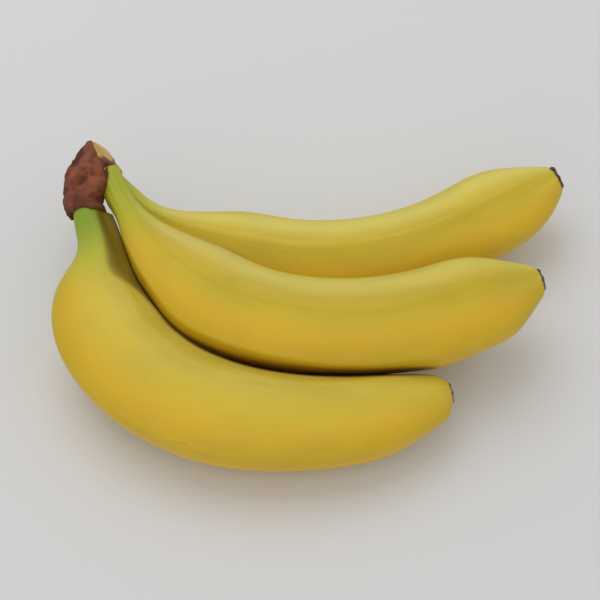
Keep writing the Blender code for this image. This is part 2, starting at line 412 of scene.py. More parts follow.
class Solid:
    """A CAD node, welded, for measuring."""

    def __init__(self, node):
        shape = bmesh.new()
        shape.from_mesh(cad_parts[node].data)
        bmesh.ops.remove_doubles(shape, verts=shape.verts, dist=WELD)
        shape.verts.ensure_lookup_table()
        self.points = np.array([vertex.co for vertex in shape.verts])
        self.links = [[] for _ in shape.verts]
        for edge in shape.edges:
            a, b = (vertex.index for vertex in edge.verts)
            length = edge.calc_length()
            self.links[a].append((b, length))
            self.links[b].append((a, length))
        self.tree = BVHTree.FromBMesh(shape)
        shape.free()

    def reach(self, start, direction):
        """How far the surface is from a point inside it."""
        _, _, _, distance = self.tree.ray_cast(Vector(start), Vector(direction))
        return 0.0 if distance is None else distance

    def distances_from(self, start):
        """Along the surface from one vertex to every other."""
        found = np.full(len(self.points), np.inf)
        found[start] = 0
        queue = [(0.0, start)]
        while queue:
            distance, here = heapq.heappop(queue)
            if distance > found[here]:
                continue
            for there, length in self.links[here]:
                if distance + length < found[there]:
                    found[there] = distance + length
                    heapq.heappush(queue, (distance + length, there))
        return found


def resample(line, count):
    """The same line with evenly spaced points, and its length."""
    steps = np.linalg.norm(np.diff(line, axis=0), axis=1)
    along = np.concatenate([[0], np.cumsum(steps)])
    places = np.linspace(0, along[-1], count)
    return np.stack([np.interp(places, along, line[:, axis]) for axis in range(3)], axis=1), along[-1]


def rows_at(values, old, new):
    """The rows of a grid read at other places along it."""
    columns = values.reshape(len(values), -1).T
    rows = np.stack([np.interp(new, old, column) for column in columns], axis=1)
    return rows.reshape(len(new), *values.shape[1:])


def directions(line):
    """(tangent, outward side of the bend, flank) at each point of a line that bends in a plane."""
    tangent = np.gradient(line, axis=0)
    tangent /= np.linalg.norm(tangent, axis=1)[:, None]
    chord = unit(line[-1] - line[0])
    sag = line[len(line) // 2] - (line[0] + line[-1]) / 2
    flank = unit(np.cross(chord, sag))
    outward = np.cross(flank, tangent)
    outward /= np.linalg.norm(outward, axis=1)[:, None]
    if outward[len(line) // 2] @ sag < 0:
        outward, flank = -outward, -flank
    return tangent, outward, np.cross(tangent, outward)


def outline(solid, line, segments):
    """Distance from the line to the surface, for each point of the line and angle round it."""
    _, outward, flank = directions(line)
    angles = np.arange(segments) * math.tau / segments
    radii = np.zeros((len(line), segments))
    for i, centre in enumerate(line):
        rays = np.outer(np.cos(angles), outward[i]) + np.outer(np.sin(angles), flank[i])
        radii[i] = [solid.reach(centre, ray) for ray in rays]
    return radii, angles, outward, flank


def clearance(points, nodes, reach):
    """How far each point is from the nearest of these CAD nodes, up to `reach`."""
    nearest = np.full(len(points), reach)
    for node in nodes:
        tree = Solid(node).tree
        for i, point in enumerate(points):
            _, _, _, distance = tree.find_nearest(Vector(point), reach)
            if distance is not None:
                nearest[i] = min(nearest[i], distance)
    return nearest


def find_centre_line(solid, crown_centre):
    """The fruit's centre line, from the crown to the blossom end."""
    tip = int(np.argmax(np.linalg.norm(solid.points - crown_centre, axis=1)))
    along = solid.distances_from(tip)
    edges = np.linspace(0, along.max(), ROUGH_STATIONS // 2)
    groups = [solid.points[(along >= low) & (along < high)] for low, high in zip(edges, edges[1:])]
    line = np.array([group.mean(0) for group in groups if len(group) > ROUGH_GROUP])[::-1]
    line, length = resample(line, ROUGH_STATIONS)
    for _ in range(CENTRING_ROUNDS):
        inner = smooth_rows(line, length / ROUGH_STATIONS, 2 * SMOOTH_BODY)
        inner = inner[CENTRING_MARGIN:-CENTRING_MARGIN]
        radii, angles, outward, flank = outline(solid, inner, ROUGH_SEGMENTS)
        shift_out = (radii**2 * np.cos(angles)).mean(1) / radii.mean(1)
        shift_flank = (radii**2 * np.sin(angles)).mean(1) / radii.mean(1)
        inner = inner + outward * shift_out[:, None] + flank * shift_flank[:, None]
        inner = smooth_rows(inner, length / ROUGH_STATIONS, SMOOTH_BODY)
        ends = []
        for place, heading in ((inner[0], inner[0] - inner[1]), (inner[-1], inner[-1] - inner[-2])):
            heading = unit(heading)
            ends.append(place + heading * solid.reach(place, heading))
        line, length = resample(np.concatenate([[ends[0]], inner, [ends[1]]]), ROUGH_STATIONS)
    return line, length


class Fruit:
    """One banana measured from its CAD solid, as a grid of rings and angles round them."""

    def __init__(self, node, crown_centre, seed):
        self.name = node
        self.looks = LOOKS[node]
        self.seed = seed
        solid = Solid(node)
        line, length = find_centre_line(solid, crown_centre)
        line, _ = resample(line, FINE_STATIONS)
        line = smooth_rows(line, length / FINE_STATIONS, SMOOTH_BODY)
        line, self.length = resample(line, RINGS)
        inner, self.angles, _, _ = outline(solid, line[1:-1], SEGMENTS)
        self.radii = np.concatenate([inner[:1], inner, inner[-1:]])
        self.tangent, self.outward, self.flank = directions(line)
        self.centres = line
        self.along = np.linspace(0, self.length, RINGS)[:, None]
        self.from_end = self.length - self.along
        self.smooth_outline()
        self.root = self.surface()[self.along[:, 0] < self.looks.plug[0]]
        self.trim()

    def smooth_outline(self):
        """Takes the CAD facets and the even five sides out, and keeps the narrow ends."""
        spacing = self.length / RINGS
        waves = np.fft.rfft(self.radii, axis=1)
        waves *= np.exp(-((np.arange(waves.shape[1]) / HARMONICS) ** 4))
        waves[:, PEEL_SIDES] = 0
        radii = np.fft.irfft(waves, SEGMENTS, axis=1)
        even = smooth_rows(radii, spacing, SMOOTH_BODY)
        close = smooth_rows(radii, spacing, SMOOTH_ENDS)
        end_share = fade(self.from_end, *CLOSE_ENDS)
        self.radii = even * (1 - end_share) + close * end_share

    def trim(self):
        """Ends the peel where its dried end begins, with closer rings there."""
        start, end = self.looks.neck_start, self.length - CAD_STUB
        body = np.linspace(start, end - TIP_STRETCH, RINGS - TIP_RINGS, endpoint=False)
        places = np.concatenate([body, np.linspace(end - TIP_STRETCH, end, TIP_RINGS)])
        for name in ("radii", "centres", "outward", "flank", "tangent"):
            setattr(self, name, rows_at(getattr(self, name), self.along[:, 0], places))
        self.length = end
        self.along = places[:, None]
        self.from_end = end - self.along

    def around(self):
        """Directions from the centre line to each point of the grid."""
        turn = self.outward[:, None] * np.cos(self.angles)[None, :, None]
        return turn + self.flank[:, None] * np.sin(self.angles)[None, :, None]

    def surface(self):
        return self.centres[:, None] + self.around() * self.radii[..., None]

    def unrolled(self, size_along=1.0):
        """Coordinates for marks: round the fruit at a typical radius, and along it."""
        ring = np.ones((RINGS, 1))
        across = [ring * np.cos(self.angles) * PEEL_RADIUS, ring * np.sin(self.angles) * PEEL_RADIUS]
        return np.stack([*across, self.along / size_along * np.ones(SEGMENTS)], axis=-1)

    def relief(self, layer):
        height, size_round, size_along, seed = layer
        return height * noise_at(self.unrolled(size_along / size_round), size_round, self.seed + seed)

    def sides(self):
        """How far each side of the peel is flattened between its two ridges."""
        flat = np.zeros(SEGMENTS)
        ridges = np.radians(self.looks.ridges)
        for start, end in zip(ridges, [*ridges[1:], ridges[0] + math.tau]):
            share = ((self.angles - start) % math.tau) / (end - start)
            depth = (PEEL_SIDES * (end - start) / math.tau) ** FACET_GROWTH
            arch = depth * np.abs(np.sin(math.pi * np.clip(share, 0, 1))) ** FACET_POWER
            flat = np.where(share < 1, arch, flat)
        return (flat.mean() - flat)[None, :]

    def room(self):
        """How far each point of the grid is from the nearest other fruit."""
        points = self.surface().reshape(-1, 3)
        others = [node for node in LOOKS if node != self.name]
        return clearance(points, others, ROOM_REACH).reshape(self.radii.shape)

    def room_to_use(self, room):
        """The share of that room which is this fruit's own."""
        body, neck = self.looks.room_share, self.looks.neck_share
        share = body + (neck - body) * fade(self.along, *NECK_SHARE_REACH)
        return room * share - TOUCH

    def swell(self):
        """The fruit's own departures from the CAD solid's even section."""
        grown = np.zeros_like(self.radii)
        for angle, spread, place, length, height in self.looks.swellings:
            round_it = hill(angle_between(self.angles, math.radians(angle)), math.radians(spread))
            grown += height * MM * round_it[None, :] * hill(self.along - place * MM, length * MM)
        return grown * fade(self.along, *SWELL_START)

    def lengthen(self):
        stretch = self.looks.end_growth * fade(self.from_end, *END_GROWTH_REACH)
        self.centres = self.centres + self.tangent * stretch

    def neck_shade_side(self):
        """Where painted shade darkens the inner side of the neck beside the next fruit, narrowing
        along the fruit.
        """
        half = NECK_SHADE_END + (NECK_SHADE_WIDTH - NECK_SHADE_END) * fade(self.along, *NECK_SHADE_REACH)
        away = np.abs(angle_between(self.angles[None, :], NECK_SHADE_MIDDLE)) + self.relief(NECK_SHADE_WAVER)
        return self.looks.neck_shade * fade(away - half, NECK_SHADE_EDGE, -NECK_SHADE_EDGE)

    def find_ridges(self):
        """Where the ridges run, and the wider bands along them whose tint is partly painted shade."""
        self.ridge = np.zeros_like(self.radii)
        self.ridge_tint = np.zeros_like(self.radii)
        along = self.along[:, 0]
        for number, middle in enumerate(np.radians(self.looks.ridges)):
            path = np.stack([along, 0 * along, 0 * along + number], axis=-1)
            wander = RIDGE_WANDER * noise_at(path, RIDGE_WANDER_LENGTH, self.seed)[:, None]
            away = angle_between(self.angles[None, :], middle + wander)
            height = rng.uniform(*RIDGE_HEIGHTS)
            self.ridge = np.maximum(self.ridge, hill(away, RIDGE_WIDTH) * height)
            self.ridge_tint = np.maximum(self.ridge_tint, hill(away, RIDGE_TINT_WIDTH))

    def marks_of_growth(self):
        """Flat sides, ridges, lumps, folds and pleats, as heights above the plain shape."""
        body = fade(self.along, *BODY_START) * fade(self.from_end, *BODY_END)
        neck = fade(self.along, *NECK_FOLD_REACH)
        tip = fade(self.from_end, *TIP_PLEAT_REACH)
        facets = FACET_DEPTH * self.sides() * self.radii / self.radii.max()
        return (
            facets * (FACET_SHARE + (1 - FACET_SHARE) * body)
            + RIDGE_HEIGHT * self.ridge * (RIDGE_SHARE + (1 - RIDGE_SHARE) * body)
            + self.relief(LUMPS) * body
            + self.relief(RIPPLES)
            + self.relief(NECK_FOLDS) * neck
            + self.relief(TIP_PLEATS) * tip
        )

    def carve(self):
        """Adds what grew on the peel to the plain shape, as far as there is room."""
        room = self.room()
        # Painted shade in the crease where the fruits meet, by the gap to the others
        self.crease_shade = fade(room, *CREASE_SHADE_ROOM)
        self.find_ridges()
        self.lengthen()
        relief = self.swell() + self.marks_of_growth()
        self.radii = self.radii + np.minimum(relief, self.room_to_use(room))
        bark_edge = self.looks.plug[0]
        inside_bark = fade(self.along, bark_edge - BARK_SQUEEZE_START, bark_edge - BARK_SQUEEZE_FULL)
        self.radii = self.radii * (1 - BARK_SQUEEZE * inside_bark)
        self.press_dents()
        self.round_shoulder()

    def press_dents(self):
        for _ in range(DENTS):
            place = rng.uniform(*DENT_PLACES) * self.length
            angle = rng.uniform(0, math.tau)
            size = rng.uniform(*DENT_SIZES)
            across = angle_between(self.angles, angle)[None, :] * PEEL_RADIUS
            distance = np.hypot(across, (self.along - place) * DENT_LENGTHENING)
            self.radii = self.radii - DENT_DEPTH * rng.uniform(*DENT_DEPTHS) * hill(distance, size)

    def round_shoulder(self):
        length, squeeze = self.looks.shoulder
        rounded = 1 - np.clip(self.from_end / length, 0, 1)
        self.radii = self.radii * (1 - squeeze * rounded**2)

    def peel_mesh(self):
        points = self.surface()
        points[..., 2] = np.maximum(points[..., 2], TABLE_GAP)
        mesh = grid_mesh(self.name + "_peel", points)
        around = np.ones((1, SEGMENTS))
        set_grid_attribute(mesh, "unrolled", self.unrolled())
        set_grid_attribute(mesh, "from_crown", self.along * around)
        set_grid_attribute(mesh, "from_tip", self.from_end * around)
        set_grid_attribute(mesh, "outside", np.cos(self.angles) * np.ones((RINGS, 1)))
        set_grid_attribute(mesh, "ridge", self.ridge)
        set_grid_attribute(mesh, "ridge_tint", self.ridge_tint)
        set_grid_attribute(mesh, "crease_shade", self.crease_shade)
        set_grid_attribute(mesh, "neck_shade", self.neck_shade_side())
        return mesh


# ---------------------------------------------------------------- the peel's material

# Colours of the peel, from the hollow side of the bend to its outside: partly the peel's own colour
# and partly painted light, paler on the hollow side as if lit from above and deeper outside as painted
# shade
HOLLOW_YELLOW = (0.77, 0.67, 0.125)
FLANK_YELLOW = (0.78, 0.57, 0.045)
OUTSIDE_YELLOW = (0.82, 0.49, 0.018)
# Along the ridges: partly the peel's own tint and partly painted shade
RIDGE_YELLOW = (0.57, 0.42, 0.008)
NECK_GREEN = (0.24, 0.38, 0.022)
GREEN_TINGE = (0.50, 0.53, 0.032)
# Painted shade in the crease where two fruits meet
FRUIT_CREASE_SHADE = (0.34, 0.15, 0.005)
# Painted shade on the inner side of a neck beside the next fruit
NECK_SHADE_OLIVE = (0.18, 0.105, 0.003)
TIP_BROWN = (0.16, 0.07, 0.018)
SPECK_BROWN = (0.40, 0.21, 0.03)

# The peel's patterns: (size round the fruit, how many times longer they are along it)
MOTTLE = (16 * MM, 2)
STREAKS = (1.6 * MM, 14)
GRAIN = (0.8 * MM, 3)
SCUFFS = (3.2 * MM, 5)
SPECKS = (5.5 * MM, 1.6)
SPECKLED_PATCHES = 11 * MM
GREEN_UNEVEN = -14 * MM  # how far the mottling moves the green's edge
GREEN_ON_RIDGES = -3 * MM
GREEN_AT_TIP = 0.14
TIP_GREEN_REACH = (16 * MM, 2 * MM)
DRIED_UNEVEN = 3.2 * MM
DRIED_START = 1.6 * MM  # beside the blossom end, and further by this for a large one:
DRIED_REACH = 1.8 * MM
STREAK_DEPTH = 0.09 * MM
GRAIN_DEPTH = 0.03 * MM
PEEL_GLOSS = 0.38


def ripe_colour(graph, mottle, streaks):
    """Yellow, paler in the hollow of the bend and deeper outside it and along the ridges: partly the
    peel's own colour and partly painted light, the paler hollow side standing for light and the deeper
    outside and ridge bands for painted shade.
    """
    side = graph.math("MULTIPLY_ADD", mottle, 0.5, graph.attribute("outside"))
    colour = graph.mix(graph.between(side, -0.75, 0.35), HOLLOW_YELLOW, FLANK_YELLOW)
    colour = graph.mix(graph.between(side, 0.3, 1.15), colour, OUTSIDE_YELLOW)
    ripe = graph.between(streaks, 0.3, 0.65, 0.38, 0.68)
    # Ridge bands: partly painted shade, uneven with the streaks
    ridge_shade = graph.math("MULTIPLY", graph.attribute("ridge_tint"), ripe)
    return graph.mix(ridge_shade, colour, RIDGE_YELLOW)


def add_green(graph, colour, looks, mottle, ridge):
    """Green at the neck, further along the ridges, and a trace at the blossom end."""
    reach = looks.green_reach
    edge = graph.math("MULTIPLY_ADD", mottle, GREEN_UNEVEN, graph.attribute("from_crown"))
    edge = graph.math("MULTIPLY_ADD", ridge, GREEN_ON_RIDGES, edge)
    tinge = graph.between(edge, 1.25 * reach, 0.45 * reach, 0, 0.85)
    colour = graph.mix(tinge, colour, GREEN_TINGE)
    deep = graph.between(edge, 0.75 * reach, 0, 0, looks.green_strength)
    colour = graph.mix(deep, colour, NECK_GREEN)
    near_tip = graph.between(graph.attribute("from_tip"), *TIP_GREEN_REACH)
    return graph.mix(graph.math("MULTIPLY", near_tip, GREEN_AT_TIP), colour, GREEN_TINGE)


def add_shade(graph, colour, looks, mottle, streaks):
    """Faint streaks and patches, lighter and darker."""
    colour = graph.mix(graph.between(streaks, 0.35, 0.65, 0, 0.1), colour, OUTSIDE_YELLOW)
    # Mottled patches, scaled by the fruit's brightness, which is partly painted light
    shade = graph.between(mottle, 0.3, 0.7, 0.95 * looks.brightness, 1.04 * looks.brightness)
    grey = graph.node("ShaderNodeCombineColor", {0: shade, 1: shade, 2: shade}).outputs[0]
    return graph.mix(1.0, colour, grey, "MULTIPLY")


def add_specks(graph, colour, space, ridge):
    """Rare brown specks, and scuffs on the ridges."""
    size, along = SPECKS
    spots = graph.spots(graph.stretch(space, along), size)
    rare = graph.between(graph.noise(space, SPECKLED_PATCHES, detail=1), 0.5, 0.62)
    speck = graph.math("MULTIPLY", graph.between(spots, 0.09, 0.04, 0, 0.35), rare)
    colour = graph.mix(speck, colour, SPECK_BROWN)
    scuffed = graph.long_noise(space, SCUFFS, detail=4, rough=0.65)
    raised = graph.between(ridge, 0.1, 0.8)
    scuff = graph.math("MULTIPLY", graph.between(scuffed, 0.66, 0.74, 0, 0.35), raised)
    return graph.mix(scuff, colour, SPECK_BROWN)


def add_painted_shade_and_browns(graph, colour, looks, mottle, streaks):
    """Painted shade where two fruits meet and on the inner side of a neck beside its neighbour, and
    brown at the blossom end.
    """
    # Painted shade where two fruits meet
    crease_shade = graph.between(graph.attribute("crease_shade"), 0.15, 0.9, 0, 0.85)
    colour = graph.mix(crease_shade, colour, FRUIT_CREASE_SHADE)
    # Painted shade on the inner side of the neck, uneven with the mottling
    uneven = graph.between(mottle, 0.35, 0.6, 0.8, 0.95)
    neck_shade = graph.math("MULTIPLY", graph.attribute("neck_shade"), uneven)
    colour = graph.mix(neck_shade, colour, NECK_SHADE_OLIVE)
    dried = graph.math("MULTIPLY_ADD", streaks, DRIED_UNEVEN, graph.attribute("from_tip"))
    reach = DRIED_START + DRIED_REACH * looks.blossom_size
    return graph.mix(graph.between(dried, reach, DRIED_START), colour, TIP_BROWN)


def peel_material(name, looks):
    """Ripe banana peel, green near the crown."""
    graph = Graph(name)
    space = graph.attribute("unrolled", "Vector")
    ridge = graph.attribute("ridge")
    mottle = graph.long_noise(space, MOTTLE, detail=3)
    streaks = graph.long_noise(space, STREAKS, detail=3, rough=0.6)
    grain = graph.long_noise(space, GRAIN, detail=2)

    colour = ripe_colour(graph, mottle, streaks)
    colour = add_green(graph, colour, looks, mottle, ridge)
    colour = add_shade(graph, colour, looks, mottle, streaks)
    colour = add_specks(graph, colour, space, ridge)
    colour = add_painted_shade_and_browns(graph, colour, looks, mottle, streaks)

    roughness = graph.between(grain, 0.2, 0.8, 0.44, 0.56)
    normal = graph.bump(streaks, STREAK_DEPTH, 0.5)
    normal = graph.bump(grain, GRAIN_DEPTH, 0.5, normal)
    return graph.finish(colour, roughness, normal, PEEL_GLOSS)


# ---------------------------------------------------------------- the dried blossom ends

# Offset along the fruit and share of the peel's end radius, from inside the peel to the scar
STUB_PROFILE = (
    (-1.6, 0.80),
    (-0.6, 0.97),
    (-0.1, 1.05),
    (0.3, 1.03),
    (0.8, 0.95),
    (1.2, 0.84),
    (1.35, 0.68),
    (1.15, 0.48),
    (0.75, 0.30),
    (0.85, 0.12),
)
STUB_STEPS = 40
STUB_OUTER = (1, 3)  # rows of the profile between which it comes out of the peel
STUB_LOBES = 5
STUB_LOBE_HEIGHT = 0.12 * MM
STUB_RAGGED = 0.45 * MM
STUB_LUMP_SIZE = 1.8 * MM
STUB_CRUMB_SIZE = 0.7 * MM
STUB_CRUMB_SHARE = 0.5
KNOB_HEIGHT = 1.6 * MM  # of the thicker side, towards the hollow of the bend
KNOB_WIDTH = 0.55  # radians
KNOB_SPREAD = 0.05  # share by which it stands out sideways
DRIED_GRAIN_SIZE = 0.5 * MM
DRIED_GRAIN_DEPTH = 0.2 * MM
DRIED_ROUGHNESS = 0.8
DRIED_DARK = (0.022, 0.012, 0.006)
DRIED_BROWN = (0.13, 0.065, 0.025)
DRIED_PALE = (0.24, 0.15, 0.07)


def stub_mesh(fruit):
    """What is left of the flower: a ragged dark cap with a sunken scar and a knob on one side."""
    size = fruit.looks.blossom_size
    profile = np.array(STUB_PROFILE)
    steps = np.linspace(0, len(profile) - 1, STUB_STEPS)
    offsets = np.interp(steps, np.arange(len(profile)), profile[:, 0])[:, None] * MM * size
    shares = np.interp(steps, np.arange(len(profile)), profile[:, 1])[:, None]
    outer = fade(steps, *STUB_OUTER)[:, None]
    knob = hill(angle_between(fruit.angles, math.pi), KNOB_WIDTH)[None, :]
    lobes = np.cos(STUB_LOBES * fruit.angles)[None, :]
    offsets = offsets + outer * (KNOB_HEIGHT * size * knob + STUB_LOBE_HEIGHT * lobes)
    radii = fruit.radii[-1][None, :] * shares * (1 + KNOB_SPREAD * outer * knob)
    points = (
        fruit.centres[-1]
        + fruit.tangent[-1] * offsets[..., None]
        + fruit.around()[-1][None] * radii[..., None]
    )
    away = points - fruit.centres[-1]
    away /= np.linalg.norm(away, axis=-1, keepdims=True) + TINY
    crumbs = STUB_CRUMB_SHARE * noise_at(points, STUB_CRUMB_SIZE, fruit.seed)
    rough = noise_at(points, STUB_LUMP_SIZE, fruit.seed) + crumbs
    points = points + away * (STUB_RAGGED * size * rough * outer)[..., None]
    mesh = grid_mesh(fruit.name + "_blossom_end", points)
    set_grid_attribute(mesh, "rough", rough)
    return mesh


def stub_material():
    graph = Graph("dried_blossom_end")
    place = graph.node("ShaderNodeNewGeometry", {}).outputs["Position"]
    grain = graph.noise(place, DRIED_GRAIN_SIZE, detail=3)
    raised = graph.between(graph.attribute("rough"), -0.6, 0.7)
    colour = graph.mix(raised, DRIED_DARK, DRIED_BROWN)
    colour = graph.mix(graph.between(grain, 0.45, 0.75, 0, 0.5), colour, DRIED_PALE)
    return graph.finish(colour, DRIED_ROUGHNESS, graph.bump(grain, DRIED_GRAIN_DEPTH, 0.8))


# ---------------------------------------------------------------- the crown

CROWN_VOXEL = 0.42 * MM
CROWN_SMOOTHING = 12
CROWN_CLOSING = 1.1 * MM  # half the width of the gaps round the necks that bark fills
CUT_HEADING = 34  # the way the cut face looks, from +X
CUT_TILT = 32  # and how far upwards
CUT_EDGE = (1.3 * MM, 0.5 * MM)  # depths between which bark gives way to the pale face
CUT_FACING = (0.75, 0.92)  # cosines to the cut's own direction
CUT_REACH = (13 * MM, 11.5 * MM)  # from the crown's top
CUT_SIDE = (0.6 * MM, 1.6 * MM)  # past the top, towards the fruits
BARK_ROUND_NECK = (3.5 * MM, 5 * MM)  # from the middle neck's end, where no pale face shows
FRINGE_REACH = (2 * MM, 0.7 * MM)  # from a neck, where bark turns dark and ragged
OUTER_SIDE = unit(np.array([0, -0.53, 0.85]))  # of the crown, where its marks are
UPWARD = np.cross([1, 0, 0], -OUTER_SIDE)
TORN_LEAN = 0.9  # of the torn edge beside the cut face, towards the outer side
TORN_DEPTH = 1.6 * MM
TORN_EDGE = (0.45 * MM, 0.15 * MM)  # as CUT_EDGE

# The bark's relief. A layer is (height, size, seed)
BARK_LUMPS = (0.9 * MM, 6 * MM, 2)
BARK_BUMPS = (0.35 * MM, 3 * MM, 4)
BARK_GRAIN = (0.08 * MM, 1.1 * MM, 7)
BARK_FRINGE = (0.45 * MM, 2.0 * MM, 9)
FACE_BUMPS = (0.12 * MM, 2.5 * MM, 11)
FACE_GRAIN = (0.06 * MM, 1.1 * MM, 7)
RAGGED_EDGE = (0.5 * MM, 1.6 * MM, 13)
WRINKLES = (0.3 * MM, 8 * MM, 3)
CRACKS = (0.12 * MM, 3.6 * MM, 5)
CREASE_SQUEEZE = 1.6  # along the front neck, so that wrinkles and cracks run across it
CREASE_DARKNESS = (0.3, 0.15)  # painted shade in wrinkles and in cracks
# Painted shade in the sunken scars
SCAR_DARKNESS = 0.7
SCAR_DEPTH = 1.3 * MM  # of the darkest scars
RAISED_HEIGHT = 1.1 * MM  # at which a lump gets its full painted light

# Marks on the crown's outer side: share across and up, width, length up and height in millimetres
CROWN_MARKS = (
    (0.37, 0.50, 1.6, 3.4, -1.1),
    (0.46, 0.36, 1.2, 1.6, -0.8),
    (0.27, 0.52, 1.7, 4.2, 0.9),
    (0.50, 0.50, 1.5, 4.6, 0.9),
    (0.70, 0.42, 2.3, 2.6, 1.1),
    (0.62, 0.26, 3.2, 1.1, -0.8),
    (0.62, 0.16, 4.0, 1.3, 0.7),
    (0.84, 0.60, 1.8, 3.0, -1.4),
    (0.97, 0.58, 1.8, 3.4, 1.0),
    (0.45, 0.78, 2.6, 5.0, 0.8),
    (0.05, 0.32, 2.6, 4.0, -1.1),
    (0.28, 0.86, 2.2, 3.2, -1.3),
    (0.10, 0.80, 3.0, 4.0, -1.4),
    (0.20, 0.72, 2.0, 3.2, -0.8),
    (0.18, 0.14, 2.4, 2.0, 0.6),
)
MARK_BENDS = ((1.3 * MM, 4 * MM, 21), (1.3 * MM, 4 * MM, 22))  # layers, across and up
MARK_REACH = (14 * MM, 9 * MM)  # a mark fades out this far from its middle

# Colours of the crown, with painted shade for its hollows and painted light on its lumps
BARK_DARK = (0.17, 0.036, 0.014)
BARK_RED = (0.26, 0.074, 0.027)
# Painted light on the lumps
BARK_RAISED = (0.36, 0.115, 0.044)
BARK_DUSTY = (0.36, 0.17, 0.09)
# Painted shade in the hollows
HOLLOW_SHADE_BROWN = (0.075, 0.018, 0.008)
BARK_EDGE = (0.095, 0.028, 0.012)
FACE_PALE = (0.72, 0.52, 0.20)
FACE_YELLOW = (0.60, 0.36, 0.07)
FACE_FIBRE = (0.36, 0.19, 0.06)
BARK_GLOSS = 0.35
PATCH_SIZE = 4.5 * MM
PATCH_DEPTH = 0.6 * MM
BARK_GRAIN_SIZE = 0.7 * MM
BARK_GRAIN_DEPTH = 0.35 * MM
FIBRES = (0.5 * MM, 6)  # a pattern, as the peel's


def bumps(points, layer):
    height, size, seed = layer
    return height * noise_at(points, size, seed)


def shaped_mesh(obj):
    """The mesh that the object's modifiers make."""
    bpy.context.view_layer.update()
    graph = bpy.context.evaluated_depsgraph_get()
    mesh = bpy.data.meshes.new_from_object(obj.evaluated_get(graph))
    bpy.data.objects.remove(obj)
    return mesh


def neck_plug(fruit):
    """The end of a neck inside the crown, which bark grows round."""
    _, share, slant = fruit.looks.plug
    middles = fruit.root.mean(axis=1, keepdims=True)
    points = middles + (fruit.root - middles) * share
    along = np.linspace(0, 1, len(points))[:, None]
    back = slant * along * (1 + np.cos(fruit.angles)) / 2
    return grid_mesh("plug", points - fruit.tangent[0] * back[..., None])


def fine_crown(fruits):
    """The CAD crown grown together with the necks in it, with even, fine faces."""
    joined = bmesh.new()
    joined.from_mesh(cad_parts["crown"].data)
    for fruit in fruits:
        joined.from_mesh(neck_plug(fruit))
    mesh = bpy.data.meshes.new("rough_crown")
    joined.to_mesh(mesh)
    joined.free()
    rough = new_object("rough_crown", mesh)
    for step, grow in (("close", CROWN_CLOSING), ("open", -CROWN_CLOSING)):
        remesh = rough.modifiers.new(step + "_faces", "REMESH")
        remesh.mode = "VOXEL"
        remesh.voxel_size = CROWN_VOXEL
        move = rough.modifiers.new(step, "DISPLACE")
        move.direction = "NORMAL"
        move.mid_level = 0
        move.strength = grow
    soften = rough.modifiers.new("soften", "SMOOTH")
    soften.factor = 0.5
    soften.iterations = CROWN_SMOOTHING
    mesh = shaped_mesh(rough)
    mesh.name = "crown_bark"
    mesh.materials.clear()
    mesh.shade_smooth()
    return mesh


def read_points(mesh):
    """The mesh's points and their normals, as rows."""
    points = np.zeros(3 * len(mesh.vertices))
    normals = np.zeros_like(points)
    mesh.vertices.foreach_get("co", points)
    mesh.vertex_normals.foreach_get("vector", normals)
    return points.reshape(-1, 3), normals.reshape(-1, 3)


def marks_on_crown(points, normals):
    """Heights of the knobs and scars on the crown's outer side."""
    rise = points @ UPWARD
    low, high = rise.min(), rise.max()
    left, right = points[:, 0].min(), points[:, 0].max()
    facing = normals @ OUTER_SIDE > 0
    bend_across, bend_up = (bumps(points, layer) for layer in MARK_BENDS)
    heights = np.zeros(len(points))
    for across, up, width, length, height in CROWN_MARKS:
        sideways = points[:, 0] + bend_across - (left + (right - left) * across)
        upwards = rise + bend_up - (low + (high - low) * up)
        nearest = np.where(facing, np.hypot(sideways, upwards), np.inf).argmin()
        away = np.linalg.norm(points - points[nearest], axis=1)
        spread = hill(sideways, width * MM) * hill(upwards, length * MM)
        heights += height * MM * spread * fade(away, *MARK_REACH)
    return heights


def cut_plane():
    """The cut face's normal, and its distance from the origin."""
    heading, tilt = math.radians(CUT_HEADING), math.radians(CUT_TILT)
    level = math.cos(tilt)
    normal = np.array([level * math.cos(heading), level * math.sin(heading), math.sin(tilt)])
    return normal, (Solid("crown").points @ normal).max()


def cut_crown(points, normals, middle_fruit):
    """Planes the points off at the knife's cut and at the torn edge beside it. Returns them, and
    how far each one belongs to the pale face."""
    cut_normal, cut_distance = cut_plane()
    depth = cut_distance - points @ cut_normal
    points = points + np.outer(np.minimum(depth, 0), cut_normal)
    cut = fade(depth, *CUT_EDGE) * fade(normals @ cut_normal, *CUT_FACING)
    torn_normal = unit(cut_normal + TORN_LEAN * OUTER_SIDE)
    torn_depth = (points @ torn_normal).max() - TORN_DEPTH - points @ torn_normal
    points = points + np.outer(np.minimum(torn_depth, 0), torn_normal)
    ragged = bumps(points, RAGGED_EDGE)
    cut = np.maximum(cut, fade(torn_depth + ragged, *TORN_EDGE))
    neck_end = middle_fruit.root[0].mean(axis=0)
    top = points[(points @ UPWARD).argmax()]
    cut *= fade(np.linalg.norm(points - neck_end, axis=1), *BARK_ROUND_NECK)
    cut *= fade(np.linalg.norm(points - top, axis=1), *CUT_REACH)
    cut *= fade(points[:, 0] - top[0] + ragged, *CUT_SIDE)
    return points, cut


